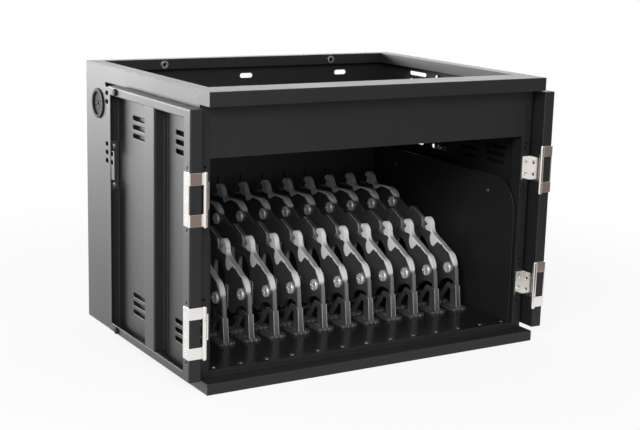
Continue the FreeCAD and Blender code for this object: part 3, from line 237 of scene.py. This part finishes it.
def surface(name, base, *, roughness, spread, edge, grain, bump, worn, dust=0.0, **shader):
    """A finish: one shader fed by the shared grain, rounded edges and dust; made once."""
    found = bpy.data.materials.get(name)
    if found:
        return found
    made = bpy.data.materials.new(name)
    made.use_nodes = True
    made.diffuse_color = (*base, 1.0)
    tree = made.node_tree
    tree.nodes.clear()
    end = add(tree, "ShaderNodeOutputMaterial")
    body = add(tree, "ShaderNodeBsdfPrincipled", **shader)
    tree.links.new(body.outputs["BSDF"], end.inputs["Surface"])
    edges = effect(tree, edge_group, Radius=edge)
    grains = effect(tree, grain_group, Size=grain, Spread=spread)
    film = effect(tree, dust_group, Amount=dust)
    wear = add(tree, "ShaderNodeMix", data_type="RGBA", blend_type="MIX")
    wear.inputs[6].default_value = (*base, 1.0)
    wear.inputs[7].default_value = (*[min(1.0, c + worn) for c in base], 1.0)
    tree.links.new(edges.outputs["Edge"], wear.inputs[0])
    dusty = add(tree, "ShaderNodeMix", data_type="RGBA", blend_type="MIX")
    dusty.inputs[7].default_value = (*DUST, 1.0)
    tree.links.new(wear.outputs[2], dusty.inputs[6])
    tree.links.new(film.outputs["Dust"], dusty.inputs[0])
    tree.links.new(dusty.outputs[2], body.inputs["Base Color"])
    tree.links.new(math_node(tree, "ADD", grains.outputs["Roughness"], roughness), body.inputs["Roughness"])
    relief = add(tree, "ShaderNodeBump", Strength=bump, Distance=grain)
    tree.links.new(grains.outputs["Height"], relief.inputs["Height"])
    tree.links.new(edges.outputs["Normal"], relief.inputs["Normal"])
    tree.links.new(relief.outputs["Normal"], body.inputs["Normal"])
    return made


def highlight_mask_group():
    """Masks for painted highlights: where a divider's raised rims lie, by the distance from the nearest divider's
    middle, and its turned faces.
    """
    tree, start, end = group("Moulded rims", [("Pitch", "Float"), ("Level", "Float")],
                             [("Rim", "Float"), ("Comb", "Float"), ("Leg", "Float")])
    where = add(tree, "ShaderNodeSeparateXYZ")
    tree.links.new(add(tree, "ShaderNodeTexCoord").outputs["Object"], where.inputs[0])
    half = math_node(tree, "DIVIDE", start.outputs["Pitch"], 2.0)
    aside = math_node(tree, "PINGPONG", math_node(tree, "ADD", where.outputs["X"], half), half)
    # Faces of the raised rims, which get a painted highlight
    beyond = math_node(tree, "SUBTRACT", aside, start.outputs["Level"])
    within = math_node(tree, "LESS_THAN", math_node(tree, "ABSOLUTE", beyond, 0.0), RIM_TOLERANCE)
    facing = add(tree, "ShaderNodeSeparateXYZ")
    tree.links.new(add(tree, "ShaderNodeNewGeometry").outputs["True Normal"], facing.inputs[0])
    turned = ranged(tree, math_node(tree, "ABSOLUTE", facing.outputs["X"], 0.0), 0.97, 0.80)
    # Painted highlights along the upper edge, front to back, the rear ones dimmer as painted shade
    lobes = add(tree, "ShaderNodeValToRGB")
    for stop, _ in COMB_HIGHLIGHT_TONES[2:]:
        lobes.color_ramp.elements.new(stop)
    for element, (stop, tone) in zip(lobes.color_ramp.elements, COMB_HIGHLIGHT_TONES):
        element.position = stop
        element.color = (tone, tone, tone, 1.0)
    along = add(tree, "ShaderNodeMapRange", From_Min=COMB_HIGHLIGHT_START, From_Max=COMB_HIGHLIGHT_END)
    tree.links.new(where.outputs["Y"], along.inputs["Value"])
    tree.links.new(along.outputs["Result"], lobes.inputs["Fac"])
    above = ranged(tree, where.outputs["Z"], *COMB_HIGHLIGHT_RISE)
    comb = math_node(tree, "MULTIPLY", math_node(tree, "MULTIPLY", turned, lobes.outputs["Color"]), above)
    # Painted highlight on the legs' front faces, growing from painted shade near the floor
    front = ranged(tree, facing.outputs["Y"], -0.5, -0.9)
    rising = ranged(tree, where.outputs["Z"], *LEG_HIGHLIGHT_RISE)
    tree.links.new(within, end.inputs["Rim"])
    tree.links.new(comb, end.inputs["Comb"])
    tree.links.new(math_node(tree, "MULTIPLY", math_node(tree, "MULTIPLY", front, rising), turned), end.inputs["Leg"])
    return tree


def paint_highlights(made, finish):
    """Painted highlights on a moulding's rims, along its upper edges and on its legs' fronts."""
    tree = made.node_tree
    body = tree.nodes["Principled BSDF"]
    rims = effect(tree, highlight_mask_group, Pitch=divider_pitch(), Level=finish.rim_level)
    for mask, tone in (("Leg", finish.leg_highlight), ("Comb", finish.comb), ("Rim", finish.rim_highlight)):
        mix = add(tree, "ShaderNodeMix", data_type="RGBA")
        mix.inputs[7].default_value = (*tone, 1.0)
        tree.links.new(rims.outputs[mask], mix.inputs[0])
        tree.links.new(body.inputs["Base Color"].links[0].from_socket, mix.inputs[6])
        tree.links.new(mix.outputs[2], body.inputs["Base Color"])


def divider_pitch():
    """Distance between two neighbouring dividers, from the frame."""
    first, second = [sum(corner[0] for corner in NODES[name].bound_box) / 8 for name in DIVIDERS[:2]]
    return second - first


def dress(names, material):
    """Give CAD nodes a finish and the material slot that it stands for."""
    for name in names:
        mesh = NODES[name].data
        mesh.materials.clear()
        mesh.materials.append(material)


def coat(finish, name, roughness, edge, dust=0.012):
    return surface(name, finish.coat, roughness=roughness, spread=0.10, edge=edge, grain=finish.grain, bump=0.10,
                   worn=0.02, dust=dust, Specular_IOR_Level=finish.coat_specular)


def blackened(finish):
    return surface("Blackened steel", finish.strike_steel, roughness=0.38, spread=0.12, edge=0.0004, grain=0.0008,
                   bump=0.05, worn=0.05, Metallic=1.0)


class CABINET_OT_case(bpy.types.Operator):
    """Powder-coat the folded case"""

    bl_idname = "cabinet.case"
    bl_label = "Case"

    def execute(self, context):
        finish = context.scene.cabinet_finish
        dress(CASE, coat(finish, "Powder coat, case", finish.coat_roughness, finish.sheet_edge))
        return {"FINISHED"}


class CABINET_OT_lining(bpy.types.Operator):
    """Powder-coat the liners, the shelf and the glossier raised floor"""

    bl_idname = "cabinet.lining"
    bl_label = "Liners, shelf and floor"

    def execute(self, context):
        finish = context.scene.cabinet_finish
        dress(LINING, coat(finish, "Powder coat, liners", finish.coat_roughness, finish.sheet_edge))
        floor = coat(finish, "Powder coat, floor", finish.floor_roughness, finish.sheet_edge, 0.006)
        dress(("device_floor",), floor)
        return {"FINISHED"}


class CABINET_OT_doors(bpy.types.Operator):
    """Powder-coat the doors and their stiffeners"""

    bl_idname = "cabinet.doors"
    bl_label = "Doors"

    def execute(self, context):
        finish = context.scene.cabinet_finish
        dress(DOORS, coat(finish, "Powder coat, doors", finish.door_roughness, finish.door_edge))
        return {"FINISHED"}


class CABINET_OT_hinges(bpy.types.Operator):
    """Plate the hinges with bright nickel"""

    bl_idname = "cabinet.hinges"
    bl_label = "Hinges"

    def execute(self, context):
        finish = context.scene.cabinet_finish
        plate = surface("Bright nickel", finish.nickel, roughness=0.16, spread=0.08, edge=0.0004, grain=0.0006,
                        bump=0.03, worn=0.04, Metallic=1.0)
        dress(HINGES, plate)
        return {"FINISHED"}


class CABINET_OT_dividers(bpy.types.Operator):
    """Give the dividers their glossy black moulding with painted highlights on its rims, upper edges and legs' fronts
    """

    bl_idname = "cabinet.dividers"
    bl_label = "Dividers"

    def execute(self, context):
        finish = context.scene.cabinet_finish
        gloss = surface("Glossy black moulding", finish.plastic, roughness=finish.plastic_roughness, spread=0.10,
                        edge=finish.plastic_edge, grain=0.004, bump=0.05, worn=0.01, dust=0.008,
                        Coat_Weight=0.25, Coat_Roughness=0.12)
        # Painted highlights on the rims, upper edges and legs' fronts
        paint_highlights(gloss, finish)
        dress(DIVIDERS, gloss)
        return {"FINISHED"}


class CABINET_OT_fasteners(bpy.types.Operator):
    """Plate the screws, rivets, nuts, bushes and bolts with zinc, and blacken the liner screws"""

    bl_idname = "cabinet.fasteners"
    bl_label = "Fasteners"

    def execute(self, context):
        finish = context.scene.cabinet_finish
        plate = surface("Bright zinc", finish.zinc, roughness=0.24, spread=0.14, edge=0.0003, grain=0.0005,
                        bump=0.05, worn=0.05, Metallic=1.0)
        satin = surface("Satin zinc", finish.zinc, roughness=0.36, spread=0.10, edge=0.0012, grain=0.0007,
                        bump=0.06, worn=0.04, Metallic=0.55)
        dress(FASTENERS, plate)
        dress(("divider_bolts",), satin)
        dress(("liner_screws",), blackened(finish))
        return {"FINISHED"}


class CABINET_OT_lock(bpy.types.Operator):
    """Plate the lock and blacken its strike"""

    bl_idname = "cabinet.lock"
    bl_label = "Lock"

    def execute(self, context):
        finish = context.scene.cabinet_finish
        bright = surface("Lock nickel", finish.lock_plate, roughness=0.18, spread=0.08, edge=0.0004, grain=0.0006,
                         bump=0.03, worn=0.04, Metallic=1.0)
        dress(LOCK, bright)
        dress(("strike_plate",), blackened(finish))
        return {"FINISHED"}


class CABINET_OT_rubber(bpy.types.Operator):
    """Give the grommet and the door stops their matt rubber"""

    bl_idname = "cabinet.rubber"
    bl_label = "Rubber pieces"

    def execute(self, context):
        finish = context.scene.cabinet_finish
        matt = surface("Matt rubber", finish.rubber, roughness=0.58, spread=0.10, edge=0.0006, grain=0.0012,
                       bump=0.12, worn=0.01, dust=0.006, Specular_IOR_Level=0.10)
        dress(RUBBER, matt)
        return {"FINISHED"}


class CABINET_OT_strip(bpy.types.Operator):
    """Coat the outlet strip"""

    bl_idname = "cabinet.strip"
    bl_label = "Outlet strip"

    def execute(self, context):
        finish = context.scene.cabinet_finish
        grey = surface("Dark grey coat", finish.strip, roughness=0.44, spread=0.10, edge=finish.sheet_edge,
                       grain=finish.grain, bump=0.10, worn=0.03, dust=0.02)
        dress(("outlet_strip",), grey)
        return {"FINISHED"}


def background_ray(tree):
    """One where a ray comes from the camera, a mirror or a glass."""
    path = add(tree, "ShaderNodeLightPath")
    seen = math_node(tree, "MAXIMUM", path.outputs["Is Camera Ray"], path.outputs["Is Glossy Ray"])
    return math_node(tree, "MAXIMUM", seen, path.outputs["Is Transmission Ray"])


def make_floor(studio):
    """Pale floor that keeps the cabinet's soft shadow and runs out into white."""
    half = studio.floor_size / 2
    mesh = bpy.data.meshes.new("studio_floor")
    mesh.from_pydata([(-half, -half, 0), (half, -half, 0), (half, half, 0), (-half, half, 0)], [], [(0, 1, 2, 3)])
    floor = bpy.data.objects.new("studio_floor", mesh)
    bpy.context.scene.collection.objects.link(floor)
    paper = bpy.data.materials.new("Pale paper")
    paper.use_nodes = True
    tree = paper.node_tree
    tree.nodes.clear()
    end = add(tree, "ShaderNodeOutputMaterial")
    diffuse = add(tree, "ShaderNodeBsdfDiffuse", Color=(*studio.floor_colour, 1.0))
    where = add(tree, "ShaderNodeTexCoord")
    reach = add(tree, "ShaderNodeVectorMath", operation="LENGTH")
    tree.links.new(where.outputs["Object"], reach.inputs[0])
    near, far = FLOOR_FADE
    fade = add(tree, "ShaderNodeMapRange", interpolation_type="SMOOTHSTEP", From_Min=near, From_Max=far,
               To_Min=studio.floor_lift, To_Max=1.0)
    tree.links.new(reach.outputs["Value"], fade.inputs["Value"])
    lift = math_node(tree, "MULTIPLY", background_ray(tree), fade.outputs["Result"])
    white = add(tree, "ShaderNodeEmission", Strength=1.0)
    mix = add(tree, "ShaderNodeMixShader")
    tree.links.new(lift, mix.inputs[0])
    tree.links.new(diffuse.outputs[0], mix.inputs[1])
    tree.links.new(white.outputs[0], mix.inputs[2])
    tree.links.new(mix.outputs[0], end.inputs["Surface"])
    mesh.materials.append(paper)


def make_table(studio):
    """Warm table top in front on the right, seen only mirrored in the fronts and the hinges."""
    mesh = bpy.data.meshes.new("studio_table")
    points = [(x, y, TABLE_LIFT) for x, y in TABLE_CORNERS]
    mesh.from_pydata(points, [], [range(len(points))])
    table = bpy.data.objects.new("studio_table", mesh)
    bpy.context.scene.collection.objects.link(table)
    table.visible_camera = False
    table.visible_diffuse = False
    table.visible_shadow = False
    wood = bpy.data.materials.new("Warm table")
    wood.use_nodes = True
    tree = wood.node_tree
    body = tree.nodes["Principled BSDF"]
    body.inputs["Roughness"].default_value = 0.8
    where = add(tree, "ShaderNodeTexCoord")
    noise = add(tree, "ShaderNodeTexNoise", Scale=3.0, Detail=2.0)
    tree.links.new(where.outputs["Object"], noise.inputs["Vector"])
    ramp = add(tree, "ShaderNodeMix", data_type="RGBA")
    ramp.inputs[6].default_value = (*studio.table, 1.0)
    ramp.inputs[7].default_value = (*[1.5 * c for c in studio.table], 1.0)
    tree.links.new(noise.outputs["Fac"], ramp.inputs[0])
    tree.links.new(ramp.outputs[2], body.inputs["Base Color"])
    mesh.materials.append(wood)


def make_world(studio):
    """White for what is seen directly or mirrored, softer for what it lights."""
    world = bpy.data.worlds.new("Studio")
    bpy.context.scene.world = world
    world.use_nodes = True
    tree = world.node_tree
    tree.nodes.clear()
    end = add(tree, "ShaderNodeOutputWorld")
    soft = add(tree, "ShaderNodeBackground", Color=(1.0, 1.0, 1.0, 1.0), Strength=studio.sky)
    white = add(tree, "ShaderNodeBackground", Color=(1.0, 1.0, 1.0, 1.0), Strength=1.0)
    mix = add(tree, "ShaderNodeMixShader")
    tree.links.new(background_ray(tree), mix.inputs[0])
    tree.links.new(soft.outputs[0], mix.inputs[1])
    tree.links.new(white.outputs[0], mix.inputs[2])
    tree.links.new(mix.outputs[0], end.inputs["Surface"])


def make_lamp(name, where, towards, width, height, matt, watts):
    """A soft rectangular lamp that the camera does not see."""
    data = bpy.data.lights.new(name, "AREA")
    data.shape = "RECTANGLE"
    data.size = width
    data.size_y = height
    data.energy = watts
    lamp = bpy.data.objects.new(name, data)
    lamp.location = where
    lamp.rotation_mode = "QUATERNION"
    lamp.rotation_quaternion = (Vector(towards) - Vector(where)).to_track_quat("-Z", "Y")
    lamp.visible_camera = False
    lamp.visible_diffuse = matt
    bpy.context.scene.collection.objects.link(lamp)


def make_camera(studio):
    """Camera at the photograph's view."""
    data = bpy.data.cameras.new("Camera")
    data.sensor_fit = "HORIZONTAL"
    data.sensor_width = 36.0
    data.lens = studio.lens
    camera = bpy.data.objects.new("Camera", data)
    bpy.context.scene.collection.objects.link(camera)
    bpy.context.scene.camera = camera
    eye = Vector(studio.eye)
    back = (eye - Vector(studio.aim)).normalized()
    right = Vector((0.0, 0.0, 1.0)).cross(back).normalized()
    up = back.cross(right)
    turn = math.cos(studio.roll), math.sin(studio.roll)
    across = right * turn[0] + up * turn[1]
    above = up * turn[0] - right * turn[1]
    pose = Matrix((across, above, back)).transposed().to_4x4()
    pose.translation = eye
    camera.matrix_world = pose


class CABINET_OT_stage(bpy.types.Operator):
    """Set up the floor, the world, the lamps and the camera"""

    bl_idname = "cabinet.stage"
    bl_label = "Studio"

    def execute(self, context):
        studio = context.scene.cabinet_studio
        context.scene.view_settings.view_transform = "Standard"
        make_floor(studio)
        make_world(studio)
        make_table(studio)
        for name, where, towards, width, height, matt in LAMPS:
            make_lamp(name + "_lamp", where, towards, width, height, matt, getattr(studio, name + "_power"))
        make_camera(studio)
        return {"FINISHED"}


OPERATORS = (CABINET_OT_case, CABINET_OT_lining, CABINET_OT_doors, CABINET_OT_hinges, CABINET_OT_dividers,
             CABINET_OT_fasteners, CABINET_OT_lock, CABINET_OT_rubber, CABINET_OT_strip, CABINET_OT_stage)


class VIEW3D_PT_cabinet(bpy.types.Panel):
    """Lists the cabinet's pieces and the studio"""

    bl_label = "Charging Cabinet"
    bl_space_type = "VIEW_3D"
    bl_region_type = "UI"
    bl_category = "Cabinet"

    def draw(self, context):
        for operator in OPERATORS:
            self.layout.operator(operator.bl_idname)


CLASSES = (CabinetFinish, CabinetStudio) + OPERATORS + (VIEW3D_PT_cabinet,)


def register():
    for cls in CLASSES:
        bpy.utils.register_class(cls)
    bpy.types.Scene.cabinet_finish = PointerProperty(type=CabinetFinish)
    bpy.types.Scene.cabinet_studio = PointerProperty(type=CabinetStudio)


def unregister():
    del bpy.types.Scene.cabinet_studio
    del bpy.types.Scene.cabinet_finish
    for cls in reversed(CLASSES):
        bpy.utils.unregister_class(cls)


def main():
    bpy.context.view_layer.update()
    register()
    bpy.ops.cabinet.case()
    bpy.ops.cabinet.lining()
    bpy.ops.cabinet.doors()
    bpy.ops.cabinet.hinges()
    bpy.ops.cabinet.dividers()
    bpy.ops.cabinet.fasteners()
    bpy.ops.cabinet.lock()
    bpy.ops.cabinet.rubber()
    bpy.ops.cabinet.strip()
    bpy.ops.cabinet.stage()


if __name__ == "__main__":
    main()
